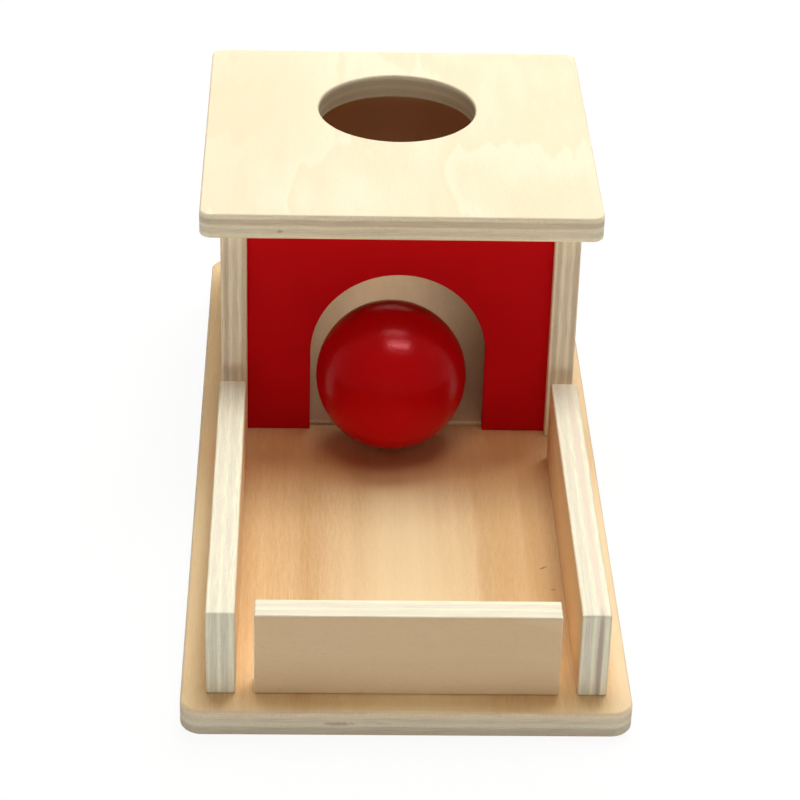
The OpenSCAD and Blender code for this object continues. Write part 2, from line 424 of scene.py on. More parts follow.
class NodeSheet:
    """Short ways to add and wire nodes in one tree."""

    COLUMN = 180.0
    ROW = -220.0
    NODES_PER_ROW = 12

    def __init__(self, tree: bpy.types.NodeTree) -> None:
        """Starts on an empty tree.

        Args:
            tree: The shader or geometry tree to build in.
        """
        self.tree = tree
        self.tree.nodes.clear()

    def add(self, kind: str, **settings: Any) -> bpy.types.Node:
        """Adds one node.

        Args:
            kind: The node's type name.
            settings: Properties of the node to set.

        Returns:
            The new node.
        """
        node = self.tree.nodes.new(kind)
        row, column = divmod(len(self.tree.nodes), self.NODES_PER_ROW)
        node.location = (self.COLUMN * column, self.ROW * row)
        for name, value in settings.items():
            setattr(node, name, value)
        return node

    def feed(self, socket: bpy.types.NodeSocket, value: Any) -> None:
        """Links a socket to an output, or sets its own value.

        Args:
            socket: The input to feed.
            value: An output socket, or a plain value.
        """
        if isinstance(value, bpy.types.NodeSocket):
            self.tree.links.new(value, socket)
        else:
            socket.default_value = value

    def math(self, operation: str, a: Any, b: Any = 0.0, clamp: bool = False) -> bpy.types.NodeSocket:
        """One math node.

        Args:
            operation: The operation's name.
            a: First value or socket.
            b: Second value or socket.
            clamp: Whether the result is kept from 0 to 1.

        Returns:
            The result's socket.
        """
        node = self.add("ShaderNodeMath", operation=operation, use_clamp=clamp)
        self.feed(node.inputs[0], a)
        self.feed(node.inputs[1], b)
        return node.outputs[0]

    def swing(self, pattern: Any, reach: float) -> bpy.types.NodeSocket:
        """A pattern from 0 to 1 as a swing about zero.

        Args:
            pattern: The pattern's socket.
            reach: The swing from end to end.

        Returns:
            The swing's socket.
        """
        return self.math("MULTIPLY", self.math("SUBTRACT", pattern, 0.5), reach)

    def blend(self, share: Any, a: Any, b: Any) -> bpy.types.NodeSocket:
        """Value a with a share of value b.

        Args:
            share: Share of b, from 0 to 1.
            a: First value or socket.
            b: Second value or socket.

        Returns:
            The value's socket.
        """
        node = self.add("ShaderNodeMix", data_type="FLOAT")
        self.feed(node.inputs[0], share)
        self.feed(node.inputs[2], a)
        self.feed(node.inputs[3], b)
        return node.outputs[0]

    def place_mm(self) -> bpy.types.NodeSocket:
        """Place on the object, in millimetres."""
        coords = self.add("ShaderNodeTexCoord")
        return self.scaled(coords.outputs["Object"], (PER_MM,) * 3)

    def parts(self, vector: Any) -> bpy.types.Node:
        """Node that gives the three parts of a vector."""
        node = self.add("ShaderNodeSeparateXYZ")
        self.feed(node.inputs[0], vector)
        return node

    def scaled(self, vector: Any, factors: Sequence[float]) -> bpy.types.NodeSocket:
        """A vector with each part multiplied by its own factor."""
        node = self.add("ShaderNodeVectorMath", operation="MULTIPLY")
        self.feed(node.inputs[0], vector)
        self.feed(node.inputs[1], tuple(factors))
        return node.outputs[0]

    def moved(self, vector: Any, shift: Sequence[float]) -> bpy.types.NodeSocket:
        """A vector with a fixed shift added."""
        node = self.add("ShaderNodeVectorMath", operation="ADD")
        self.feed(node.inputs[0], vector)
        self.feed(node.inputs[1], tuple(shift))
        return node.outputs[0]

    def noise(self, vector: Any, scale: float, detail: float = 2.0, rough: float = 0.5,
              warp: float = 0.0) -> bpy.types.NodeSocket:
        """Noise value from about 0 to 1.

        Args:
            vector: Where to read the noise.
            scale: Features per unit of the vector.
            detail: Octaves.
            rough: Weight of the finer octaves.
            warp: Distortion.

        Returns:
            The value's socket.
        """
        node = self.add("ShaderNodeTexNoise", noise_dimensions="3D")
        self.feed(node.inputs["Vector"], vector)
        self.feed(node.inputs["Scale"], scale)
        self.feed(node.inputs["Detail"], detail)
        self.feed(node.inputs["Roughness"], rough)
        self.feed(node.inputs["Distortion"], warp)
        return node.outputs[0]

    def span(self, value: Any, low: float, high: float, to_low: float = 0.0, to_high: float = 1.0,
             smooth: bool = True) -> bpy.types.NodeSocket:
        """Maps a range of a value to another range and holds it there.

        Args:
            value: The value's socket.
            low: Value that becomes to_low.
            high: Value that becomes to_high.
            to_low: Lower result.
            to_high: Upper result.
            smooth: Whether the step is eased at its ends.

        Returns:
            The result's socket.
        """
        kind = "SMOOTHSTEP" if smooth else "LINEAR"
        node = self.add("ShaderNodeMapRange", interpolation_type=kind)
        for name, number in (("From Min", low), ("From Max", high), ("To Min", to_low), ("To Max", to_high)):
            node.inputs[name].default_value = number
        self.feed(node.inputs["Value"], value)
        return node.outputs[0]

    def mix(self, share: Any, a: Any, b: Any, blend: str = "MIX") -> bpy.types.NodeSocket:
        """Colour a with a share of colour b.

        Args:
            share: Share of b, from 0 to 1.
            a: First colour or socket.
            b: Second colour or socket.
            blend: How b goes on a.

        Returns:
            The colour's socket.
        """
        node = self.add("ShaderNodeMix", data_type="RGBA", blend_type=blend)
        self.feed(node.inputs[0], share)
        for socket, colour in ((node.inputs[6], a), (node.inputs[7], b)):
            self.feed(socket, colour if isinstance(colour, bpy.types.NodeSocket) else (*colour, 1.0))
        return node.outputs[2]

    def ramp(self, value: Any, stops: Sequence[Stop]) -> bpy.types.NodeSocket:
        """Colours along a value.

        Args:
            value: The value's socket.
            stops: Place and colour of each stop, in order.

        Returns:
            The colour's socket.
        """
        node = self.add("ShaderNodeValToRGB")
        elements = node.color_ramp.elements
        while len(elements) < len(stops):
            elements.new(1.0)
        for element, (place, colour) in zip(elements, stops):
            element.position = place
            element.color = (*colour, 1.0)
        self.feed(node.inputs[0], value)
        return node.outputs[0]

    def bump(self, height: Any, strength: float, depth: float) -> bpy.types.NodeSocket:
        """Shading normal from a height.

        Args:
            height: The height's socket, from 0 to 1.
            strength: Share of the effect.
            depth: Height in metres that a value of 1 stands for.

        Returns:
            The normal's socket.
        """
        node = self.add("ShaderNodeBump")
        node.inputs["Strength"].default_value = strength
        node.inputs["Distance"].default_value = depth
        self.feed(node.inputs["Height"], height)
        return node.outputs[0]

    def surface(self, shader: bpy.types.NodeSocket) -> None:
        """Wires a shader to the material's output."""
        out = self.add("ShaderNodeOutputMaterial")
        self.feed(out.inputs["Surface"], shader)


def shader_sheet(name: str) -> tuple[bpy.types.Material, NodeSheet]:
    """A new node material.

    Args:
        name: The material's name.

    Returns:
        The material and the sheet of its tree.
    """
    material = bpy.data.materials.new(name)
    material.use_nodes = True
    return material, NodeSheet(material.node_tree)


@dataclass
class Lay:
    """How a board lies: the axis of its thickness, the axis of its face grain and its lower face."""

    thickness_axis: Axis
    grain_axis: Axis
    low: float
    thickness: float
    seed: int

    @property
    def cross_axis(self) -> Axis:
        """The axis across the face grain, in the board's plane."""
        return next(a for a in Axis if a not in (self.thickness_axis, self.grain_axis))


def stretch_along(axis: Axis, stretch: float) -> tuple[float, float, float]:
    """Factors that draw a pattern out along an axis.

    Args:
        axis: The axis to draw it along.
        stretch: How many times longer it gets.

    Returns:
        One factor for each axis.
    """
    return tuple(1.0 / stretch if a is axis else 1.0 for a in Axis)


class Plywood:
    """Solid plywood: a veneer on both faces and glued layers that show on every cut edge."""

    FIBRE_STRETCH = 16.0
    FIBRE_PER_MM = 2.2
    FLECK_STRETCH = 5.0
    FLECK_PER_MM = 2.0
    FIBRE_HEIGHT_SHARE = 0.6
    FIBRE_ROUGHNESS = 0.08
    FLECK_SPAN = (0.58, 0.74)
    FLAME_STRETCH = 8.0
    FIBRE_JAG_SHARE = 0.2
    RING_TURN = 0.86
    STRIPE_STRETCH = 60.0
    MIDDLE_TONE = 0.42
    FACE_SPAN = (0.72, 0.96)
    WAVER_PER_MM = 0.05
    WAVER_MM = 1.1
    TORN_PER_MM = 1.3
    TORN_SPAN = (0.52, 0.72)
    TORN_DEPTH = 2.0
    LAYER_BLEND = 0.045
    CROSS_BLEND = 0.004
    LINE_STRETCH = 26.0
    LINE_PER_MM = 2.1
    FACE_LINE_SHARE = 0.03
    RAGGED_PER_MM = 0.9
    MARK_SPAN = (1.1, 0.35)
    SEED_STEP = (37.3, 61.7, 23.9)
    RELIEF_STRENGTH = 0.35
    RELIEF = 0.12 * MM
    SPECULAR = 0.08

    def __init__(self, name: str, veneer: Veneer, edge: PlyEdge, lay: Lay,
                 marks: Sequence[Mark] = ()) -> None:
        """Keeps what the material is made from.

        Args:
            name: The material's name.
            veneer: The faces.
            edge: The cut edges.
            lay: How the board lies.
            marks: Knots, streaks, changes of tone and patches of painted light or shade.
        """
        self.name = name
        self.veneer = veneer
        self.edge = edge
        self.lay = lay
        self.marks = marks

    def build(self) -> bpy.types.Material:
        """Makes the material.

        Returns:
            The finished material.
        """
        material, sheet = shader_sheet(self.name)
        place = sheet.place_mm()
        seeded = sheet.moved(place, [self.lay.seed * step for step in self.SEED_STEP])
        parts = sheet.parts(place)
        normal = sheet.parts(sheet.add("ShaderNodeTexCoord").outputs["Normal"])
        facing = sheet.math("ABSOLUTE", normal.outputs[self.lay.thickness_axis.value])
        on_face = sheet.span(facing, *self.FACE_SPAN)
        fibre = self._fibre(sheet, seeded, self.lay.grain_axis)
        face, fleck = self._face(sheet, seeded, fibre)
        for mark in self.marks:
            if mark.on_faces:
                face = self._marked(sheet, place, face, mark)
        cut, cut_height = self._cut(sheet, seeded, parts, normal, fibre)
        colour = sheet.mix(on_face, cut, face)
        for mark in self.marks:
            if not mark.on_faces:
                colour = self._marked(sheet, place, colour, mark)
        face_height = sheet.math("SUBTRACT", sheet.math("MULTIPLY", fibre, self.FIBRE_HEIGHT_SHARE), fleck)
        height = sheet.blend(on_face, cut_height, face_height)
        rough = sheet.math("ADD", sheet.span(on_face, 0.0, 1.0, self.edge.roughness, self.veneer.roughness),
                           sheet.math("MULTIPLY", fibre, self.FIBRE_ROUGHNESS))
        wood = sheet.add("ShaderNodeBsdfPrincipled")
        sheet.feed(wood.inputs["Base Color"], colour)
        sheet.feed(wood.inputs["Roughness"], rough)
        sheet.feed(wood.inputs["Normal"], sheet.bump(height, self.RELIEF_STRENGTH, self.RELIEF))
        wood.inputs["Specular IOR Level"].default_value = self.SPECULAR
        sheet.surface(wood.outputs[0])
        return material

    def _fibre(self, sheet: NodeSheet, seeded: Any, axis: Axis) -> bpy.types.NodeSocket:
        """Fine streaks along a layer's grain."""
        drawn = sheet.scaled(seeded, stretch_along(axis, self.FIBRE_STRETCH))
        return sheet.noise(drawn, self.FIBRE_PER_MM, 3.0, 0.6)

    def _face(self, sheet: NodeSheet, seeded: Any, fibre: Any) -> tuple[Any, Any]:
        """Colour of the veneer and its flecks.

        Args:
            sheet: The material's sheet.
            seeded: Place in millimetres, shifted for this board.
            fibre: The fine streaks.

        Returns:
            Sockets of the colour and of the flecks' mask.
        """
        veneer = self.veneer
        grain = self.lay.grain_axis
        swell = sheet.noise(sheet.scaled(seeded, stretch_along(grain, veneer.ring_stretch)),
                            1.0 / veneer.ring_width_mm, 2.5, 0.45, 0.35)
        flame = sheet.noise(sheet.scaled(seeded, stretch_along(grain, self.FLAME_STRETCH)),
                            1.0 / veneer.flame_mm, 2.0, 0.5)
        jag = sheet.math("ADD", sheet.math("MULTIPLY", flame, veneer.flame_share),
                         sheet.math("MULTIPLY", fibre, self.FIBRE_JAG_SHARE))
        contour = sheet.math("ADD", sheet.math("MULTIPLY", swell, veneer.ring_count), jag)
        saw = sheet.math("FRACT", contour)
        rise = sheet.span(saw, 0.0, self.RING_TURN)
        fall = sheet.span(saw, self.RING_TURN, 1.0)
        ring = sheet.math("SUBTRACT", rise, fall)
        stripe = sheet.noise(sheet.scaled(seeded, stretch_along(grain, self.STRIPE_STRETCH)),
                             1.0 / veneer.stripe_mm, 2.0, 0.55)
        tone = sheet.swing(ring, veneer.ring_share)
        for pattern, share in ((stripe, veneer.stripe_share), (fibre, veneer.fibre_share)):
            tone = sheet.math("ADD", tone, sheet.swing(pattern, 2.0 * share))
        tone = sheet.math("ADD", tone, self.MIDDLE_TONE, clamp=True)
        drawn = sheet.scaled(seeded, stretch_along(grain, self.FLECK_STRETCH))
        fleck = sheet.span(sheet.noise(drawn, self.FLECK_PER_MM, 1.0, 0.5), *self.FLECK_SPAN)
        colour = sheet.mix(tone, veneer.pale, veneer.deep)
        colour = sheet.mix(sheet.math("MULTIPLY", fleck, veneer.fleck_share), colour, veneer.fleck)
        return colour, fleck

    def _cut(self, sheet: NodeSheet, seeded: Any, parts: Any, normal: Any, fibre: Any) -> tuple[Any, Any]:
        """Colour and height of the layers on a cut edge.

        Args:
            sheet: The material's sheet.
            seeded: Place in millimetres, shifted for this board.
            parts: Node with the parts of the place in millimetres.
            normal: Node with the parts of the object's normal.
            fibre: Fine streaks along the face grain.

        Returns:
            Sockets of the colour and of the height.
        """
        lay = self.lay
        edge = self.edge
        waver = sheet.swing(sheet.noise(seeded, self.WAVER_PER_MM, 3.0, 0.55), self.WAVER_MM)
        depth = sheet.math("SUBTRACT", parts.outputs[lay.thickness_axis.value], lay.low * PER_MM)
        depth = sheet.math("ADD", depth, waver)
        depth = sheet.math("DIVIDE", depth, lay.thickness * PER_MM)
        tones = sheet.ramp(depth, self._layer_stops())
        crossed = sheet.ramp(depth, self._cross_stops())
        cross_fibre = self._fibre(sheet, seeded, lay.cross_axis)
        streak = sheet.blend(crossed, fibre, cross_fibre)
        end = sheet.blend(crossed, sheet.math("ABSOLUTE", normal.outputs[lay.grain_axis.value]),
                          sheet.math("ABSOLUTE", normal.outputs[lay.cross_axis.value]))
        rips = sheet.noise(seeded, self.TORN_PER_MM, 3.0, 0.65)
        torn = sheet.span(rips, *self.TORN_SPAN, 0.0, edge.torn_share)
        darker = sheet.math("MULTIPLY", end, sheet.math("ADD", torn, edge.end_grain_share))
        swing = sheet.swing(streak, 2.0 * edge.streak_share)
        along = [1.0 if axis is lay.thickness_axis else 1.0 / self.LINE_STRETCH for axis in Axis]
        line = sheet.noise(sheet.scaled(seeded, along), self.LINE_PER_MM, 3.0, 0.6)
        line = sheet.swing(line, 2.0 * edge.line_share)
        light = sheet.math("ADD", sheet.math("SUBTRACT", 1.0, darker), sheet.math("ADD", swing, line))
        grey = sheet.add("ShaderNodeCombineColor")
        for socket in grey.inputs[:3]:
            sheet.feed(socket, light)
        colour = sheet.mix(1.0, tones, grey.outputs[0], "MULTIPLY")
        return colour, sheet.math("SUBTRACT", streak, sheet.math("MULTIPLY", darker, self.TORN_DEPTH))

    def _marked(self, sheet: NodeSheet, place: Any, colour: Any, mark: Mark) -> bpy.types.NodeSocket:
        """The colour with one mark on it.

        Args:
            sheet: The material's sheet.
            place: Place in millimetres.
            colour: The colour so far.
            mark: The mark.

        Returns:
            The colour's socket.
        """
        turned = sheet.add("ShaderNodeVectorRotate", rotation_type="Z_AXIS")
        sheet.feed(turned.inputs["Vector"], place)
        sheet.feed(turned.inputs["Center"], mark.centre_mm)
        sheet.feed(turned.inputs["Angle"], -math.radians(mark.turn_deg))
        offset = sheet.moved(turned.outputs[0], [-c for c in mark.centre_mm])
        ragged = sheet.swing(sheet.noise(place, self.RAGGED_PER_MM, 2.0), mark.ragged)
        reach = sheet.add("ShaderNodeVectorMath", operation="LENGTH")
        sheet.feed(reach.inputs[0], sheet.scaled(offset, [1.0 / h for h in mark.half_mm]))
        rim = sheet.math("ADD", reach.outputs["Value"], ragged)
        mask = sheet.span(rim, *self.MARK_SPAN, 0.0, mark.share)
        return sheet.mix(mask, colour, mark.tone)

    def _layer_stops(self) -> list[Stop]:
        """Tones of the layers, from the lower face up."""
        blend = self.LAYER_BLEND
        line = self.FACE_LINE_SHARE
        stops: list[Stop] = [(line, self.edge.face_line)]
        reach = 0.0
        for share, tone in self.edge.layers:
            start = max(reach, line)
            reach += share
            stops += [(start + blend, tone), (min(reach, 1.0 - line) - blend, tone)]
        stops.append((1.0 - line, self.edge.face_line))
        return stops

    def _cross_stops(self) -> list[Stop]:
        """White where a layer's grain runs across the face grain, black elsewhere."""
        stops: list[Stop] = []
        reach = 0.0
        for index, (share, _) in enumerate(self.edge.layers):
            value = float(index % 2)
            start, end = reach + self.CROSS_BLEND, reach + share - self.CROSS_BLEND
            stops += [(start, (value,) * 3), (end, (value,) * 3)]
            reach += share
        return stops


class PaintCoat:
    """Opaque coat with a fine spray texture and a trace of the grain below it."""

    CLOUD_PER_MM = 0.03
    CLOUD_SHARE = 0.6
    GRAIN_STRETCH = 40.0
    GRAIN_PER_MM = 0.9
    GRAIN_SHARE = 0.3
    ROUGHNESS_SWING = 0.04
    RELIEF = 0.15 * MM

    def __init__(self, name: str, paint: Paint, grain_axis: Axis) -> None:
        """Keeps what the material is made from.

        Args:
            name: The material's name.
            paint: The coat.
            grain_axis: Axis of the wood's grain under it.
        """
        self.name = name
        self.paint = paint
        self.grain_axis = grain_axis

    def build(self) -> bpy.types.Material:
        """Makes the material.

        Returns:
            The finished material.
        """
        material, sheet = shader_sheet(self.name)
        paint = self.paint
        place = sheet.place_mm()
        peel = sheet.noise(place, 1.0 / paint.peel_mm, 2.0, 0.5)
        cloud = sheet.noise(place, self.CLOUD_PER_MM, 2.0, 0.5)
        drawn = sheet.scaled(place, stretch_along(self.grain_axis, self.GRAIN_STRETCH))
        grain = sheet.noise(drawn, self.GRAIN_PER_MM, 3.0, 0.6)
        share = sheet.math("ADD", sheet.math("MULTIPLY", cloud, self.CLOUD_SHARE),
                           sheet.math("MULTIPLY", grain, self.GRAIN_SHARE))
        colour = sheet.mix(share, paint.colour, paint.shade)
        relief = sheet.math("ADD", sheet.math("MULTIPLY", peel, paint.peel_strength),
                            sheet.math("MULTIPLY", grain, paint.grain_strength))
        rough = sheet.span(cloud, *CLOUD_SPAN, paint.roughness - self.ROUGHNESS_SWING,
                           paint.roughness + self.ROUGHNESS_SWING)
        film = sheet.add("ShaderNodeBsdfPrincipled")
        sheet.feed(film.inputs["Base Color"], colour)
        sheet.feed(film.inputs["Roughness"], rough)
        sheet.feed(film.inputs["Normal"], sheet.bump(relief, 1.0, self.RELIEF))
        film.inputs["Specular IOR Level"].default_value = paint.specular
        film.inputs["Specular Tint"].default_value = (*paint.gloss_tint, 1.0)
        sheet.surface(film.outputs[0])
        return material


def beech_material() -> bpy.types.Material:
    """Plain sanded beech for the dowels and the cleat.

    Returns:
        The finished material.
    """
    material, sheet = shader_sheet("sanded_beech")
    place = sheet.place_mm()
    along = sheet.scaled(place, stretch_along(Axis.X, BEECH_FIBRE_STRETCH))
    fibre = sheet.noise(along, BEECH_FIBRE_PER_MM, 3.0, 0.6)
    short = sheet.scaled(place, stretch_along(Axis.X, BEECH_RAY_STRETCH))
    ray = sheet.span(sheet.noise(short, BEECH_RAY_PER_MM, 1.0), *BEECH_RAY_SPAN)
    colour = sheet.mix(fibre, BEECH_PALE, BEECH_DEEP)
    colour = sheet.mix(sheet.math("MULTIPLY", ray, BEECH_RAY_SHARE), colour, BEECH_RAY)
    wood = sheet.add("ShaderNodeBsdfPrincipled")
    sheet.feed(wood.inputs["Base Color"], colour)
    sheet.feed(wood.inputs["Normal"], sheet.bump(fibre, 0.3, BEECH_RELIEF))
    wood.inputs["Roughness"].default_value = BEECH_ROUGHNESS
    sheet.surface(wood.outputs[0])
    return material


def steel_material() -> bpy.types.Material:
    """Bright zinc plating on the screws.

    Returns:
        The finished material.
    """
    material, sheet = shader_sheet("zinc_plating")
    cloud = sheet.noise(sheet.place_mm(), ZINC_CLOUD_PER_MM, 3.0, 0.6)
    metal = sheet.add("ShaderNodeBsdfPrincipled")
    sheet.feed(metal.inputs["Base Color"], sheet.mix(cloud, ZINC_BRIGHT, ZINC_DULL))
    sheet.feed(metal.inputs["Roughness"], sheet.span(cloud, *CLOUD_SPAN, *ZINC_ROUGHNESS))
    sheet.feed(metal.inputs["Normal"], sheet.bump(cloud, 0.1, ZINC_RELIEF))
    metal.inputs["Metallic"].default_value = 1.0
    sheet.surface(metal.outputs[0])
    return material


# Shapes


SHARP_DEG = 35.0
WELD = 0.001 * MM
ISLAND_WELD = 0.002 * MM
CORNER_STEPS = 14
HOLE_STEPS = 128


def linked_object(name: str, mesh: bpy.types.Mesh) -> bpy.types.Object:
    """Puts a mesh in the scene.

    Args:
        name: The object's name.
        mesh: Its mesh.

    Returns:
        The new object, at the origin.
    """
    obj = bpy.data.objects.new(name, mesh)
    bpy.context.scene.collection.objects.link(obj)
    return obj


def settle(obj: bpy.types.Object) -> None:
    """Turns an object's modifiers into a plain mesh and removes them.

    Args:
        obj: The object to change.
    """
    depsgraph = bpy.context.evaluated_depsgraph_get()
    mesh = bpy.data.meshes.new_from_object(obj.evaluated_get(depsgraph), depsgraph=depsgraph)
    old = obj.data
    obj.modifiers.clear()
    obj.data = mesh
    bpy.data.meshes.remove(old)


def close_mesh(mesh: bpy.types.Mesh) -> None:
    """Merges doubled points and turns all faces outwards.

    Args:
        mesh: A closed mesh.
    """
    shape = bmesh.new()
    shape.from_mesh(mesh)
    bmesh.ops.remove_doubles(shape, verts=shape.verts, dist=WELD)
    bmesh.ops.recalc_face_normals(shape, faces=shape.faces)
    shape.to_mesh(mesh)
    shape.free()


def ease_arrises(obj: bpy.types.Object, radius: float, steps: int = 4) -> None:
    """Rounds the sharp edges of a board, as sanding does.

    Args:
        obj: The board.
        radius: Radius of the rounding.
        steps: Faces across it.
    """
    bevel = obj.modifiers.new("eased", "BEVEL")
    bevel.width = radius
    bevel.segments = steps
    bevel.limit_method = "ANGLE"
    bevel.angle_limit = math.radians(SHARP_DEG)
    bevel.harden_normals = True
    bevel.use_clamp_overlap = True
    for polygon in obj.data.polygons:
        polygon.use_smooth = True
    settle(obj)


def prism(name: str, outline: Sequence[Point2], axis: Axis, low: float, high: float) -> bpy.types.Object:
    """A solid of one outline, drawn along an axis.

    Args:
        name: The object's name.
        outline: Points on the two other axes, in X, Y, Z order.
        axis: The axis to draw it along.
        low: Where it starts.
        high: Where it ends.

    Returns:
        The new object.
    """
    first, second = axis.others()
    shape = bmesh.new()
    rings = []
    for level in (low, high):
        ring = []
        for a, b in outline:
            place = [0.0, 0.0, 0.0]
            place[axis.value] = level
            place[first.value] = a
            place[second.value] = b
            ring.append(shape.verts.new(place))
        rings.append(ring)
        shape.faces.new(ring)
    count = len(outline)
    for i in range(count):
        j = (i + 1) % count
        shape.faces.new((rings[0][i], rings[0][j], rings[1][j], rings[1][i]))
    bmesh.ops.recalc_face_normals(shape, faces=shape.faces)
    mesh = bpy.data.meshes.new(name)
    shape.to_mesh(mesh)
    shape.free()
    return linked_object(name, mesh)


def rectangle(low: Vector, high: Vector, axis: Axis) -> list[Point2]:
    """Outline of a box seen along an axis.

    Args:
        low: Its lowest corner.
        high: Its highest corner.
        axis: The axis to look along.

    Returns:
        Four points on the two other axes.
    """
    a, b = (other.value for other in axis.others())
    return [(low[a], low[b]), (high[a], low[b]), (high[a], high[b]), (low[a], high[b])]


def node_profile(node: bpy.types.Object, axis: Axis) -> list[Point2]:
    """Outline of a convex solid that was drawn along an axis.

    Args:
        node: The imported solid.
        axis: The axis it was drawn along.

    Returns:
        Its corners on the two other axes, in order round it.
    """
    a, b = (other.value for other in axis.others())
    corners = {(round(v.co[a], 6), round(v.co[b], 6)) for v in node.data.vertices}
    middle = (sum(p[0] for p in corners) / len(corners), sum(p[1] for p in corners) / len(corners))
    return sorted(corners, key=lambda p: math.atan2(p[1] - middle[1], p[0] - middle[0]))


def island_boxes(node: bpy.types.Object) -> list[tuple[Vector, Vector]]:
    """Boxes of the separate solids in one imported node.

    Args:
        node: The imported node.

    Returns:
        Lowest and highest corner of each solid.
    """
    shape = bmesh.new()
    shape.from_mesh(node.data)
    bmesh.ops.remove_doubles(shape, verts=shape.verts, dist=ISLAND_WELD)
    todo = set(shape.verts)
    boxes = []
    while todo:
        front = [todo.pop()]
        island = []
        while front:
            vert = front.pop()
            island.append(vert.co.copy())
            for link in vert.link_edges:
                other = link.other_vert(vert)
                if other in todo:
                    todo.remove(other)
                    front.append(other)
        low = Vector(min(co[i] for co in island) for i in range(3))
        high = Vector(max(co[i] for co in island) for i in range(3))
        boxes.append((low, high))
    shape.free()
    return sorted(boxes, key=lambda pair: tuple(round(c, 5) for c in pair[0]))


# Geometry node trees


class GeometrySheet(NodeSheet):
    """A geometry tree with named inputs."""

    FLOAT = "NodeSocketFloat"
    MATERIAL = "NodeSocketMaterial"

    def __init__(self, name: str) -> None:
        """Starts a tree with one geometry output.

        Args:
            name: The tree's name.
        """
        super().__init__(bpy.data.node_groups.new(name, "GeometryNodeTree"))
        self.tree.interface.new_socket("Geometry", in_out="INPUT", socket_type="NodeSocketGeometry")
        self.tree.interface.new_socket("Geometry", in_out="OUTPUT", socket_type="NodeSocketGeometry")
        self.entry = self.add("NodeGroupInput")

    def size(self, name: str, kind: str = FLOAT) -> bpy.types.NodeSocket:
        """Adds a named input.

        Args:
            name: The input's name.
            kind: Its socket type.

        Returns:
            The socket that gives its value inside the tree.
        """
        self.tree.interface.new_socket(name, in_out="INPUT", socket_type=kind)
        return self.entry.outputs[name]

    def end(self, geometry: Any, finish: Any) -> bpy.types.NodeTree:
        """Realizes the result, sets its finish and ends the tree.

        Args:
            geometry: Socket of the result.
            finish: Socket of the material.

        Returns:
            The finished tree.
        """
        real = self.add("GeometryNodeRealizeInstances")
        self.feed(real.inputs[0], geometry)
        coated = self.add("GeometryNodeSetMaterial")
        self.feed(coated.inputs["Geometry"], real.outputs[0])
        self.feed(coated.inputs["Material"], finish)
        out = self.add("NodeGroupOutput")
        self.feed(out.inputs[0], coated.outputs[0])
        return self.tree

    def joined(self, *parts: Any) -> bpy.types.NodeSocket:
        """Several geometries as one."""
        node = self.add("GeometryNodeJoinGeometry")
        for part in reversed(parts):
            self.feed(node.inputs[0], part)
        return node.outputs[0]

    def lifted(self, geometry: Any, height: Any) -> bpy.types.NodeSocket:
        """A geometry moved up by a height."""
        shift = self.add("ShaderNodeCombineXYZ")
        self.feed(shift.inputs[2], height)
        node = self.add("GeometryNodeTransform")
        self.feed(node.inputs["Geometry"], geometry)
        self.feed(node.inputs["Translation"], shift.outputs[0])
        return node.outputs[0]


def use_tree(obj: bpy.types.Object, tree: bpy.types.NodeTree, values: dict[str, Any]) -> None:
    """Runs a geometry tree on an object and keeps the plain mesh.

    Args:
        obj: The object to run it on.
        tree: The tree.
        values: Value of each named input.
    """
    modifier = obj.modifiers.new(tree.name, "NODES")
    modifier.node_group = tree
    for item in tree.interface.items_tree:
        if item.in_out == "INPUT" and item.name in values:
            modifier[item.identifier] = values[item.name]
    settle(obj)


def round_board_tree() -> bpy.types.NodeTree:
    """Tree of a flat board with round corners and a round hole.

    Returns:
        The tree. A hole radius of zero leaves the board whole.
    """
    sheet = GeometrySheet("round_board")
    width = sheet.size("Width")
    length = sheet.size("Length")
    thickness = sheet.size("Thickness")
    corner = sheet.size("Corner radius")
    hole = sheet.size("Hole radius")
    setback = sheet.size("Hole setback")
    finish = sheet.size("Finish", GeometrySheet.MATERIAL)
    frame = sheet.add("GeometryNodeCurvePrimitiveQuadrilateral", mode="RECTANGLE")
    sheet.feed(frame.inputs["Width"], width)
    sheet.feed(frame.inputs["Height"], length)
    rounded = sheet.add("GeometryNodeFilletCurve", mode="POLY")
    sheet.feed(rounded.inputs["Curve"], frame.outputs[0])
    sheet.feed(rounded.inputs["Count"], CORNER_STEPS)
    sheet.feed(rounded.inputs["Radius"], corner)
    circle = sheet.add("GeometryNodeCurvePrimitiveCircle", mode="RADIUS")
    sheet.feed(circle.inputs["Resolution"], HOLE_STEPS)
    sheet.feed(circle.inputs["Radius"], hole)
    shift = sheet.add("ShaderNodeCombineXYZ")
    sheet.feed(shift.inputs[1], setback)
    placed = sheet.add("GeometryNodeTransform")
    sheet.feed(placed.inputs["Geometry"], circle.outputs[0])
    sheet.feed(placed.inputs["Translation"], shift.outputs[0])
    pierced = sheet.add("GeometryNodeSwitch", input_type="GEOMETRY")
    sheet.feed(pierced.inputs[0], sheet.math("GREATER_THAN", hole, 0.0))
    sheet.feed(pierced.inputs[2], placed.outputs[0])
    face = sheet.add("GeometryNodeFillCurve", mode="NGONS")
    sheet.feed(face.inputs[0], sheet.joined(rounded.outputs[0], pierced.outputs[0]))
    drawn = sheet.add("GeometryNodeExtrudeMesh", mode="FACES")
    sheet.feed(drawn.inputs["Mesh"], face.outputs[0])
    sheet.feed(drawn.inputs["Offset Scale"], thickness)
    sheet.feed(drawn.inputs["Individual"], False)
    under = sheet.add("GeometryNodeFlipFaces")
    sheet.feed(under.inputs[0], face.outputs[0])
    return sheet.end(sheet.joined(drawn.outputs[0], under.outputs[0]), finish)


SCREW_SIDES = 40
RIM_SHARE = 0.06
CORE_SHARE = 0.78
SMOOTH_SHARE = 0.34
POINT_SHARE = 0.05
RIDGE_SHARE = 0.21
RECESS_DEPTH_SHARE = 1.5
THREAD_TURNS = 9.0
THREAD_STEPS = 18
RIDGE_SIDES = 4


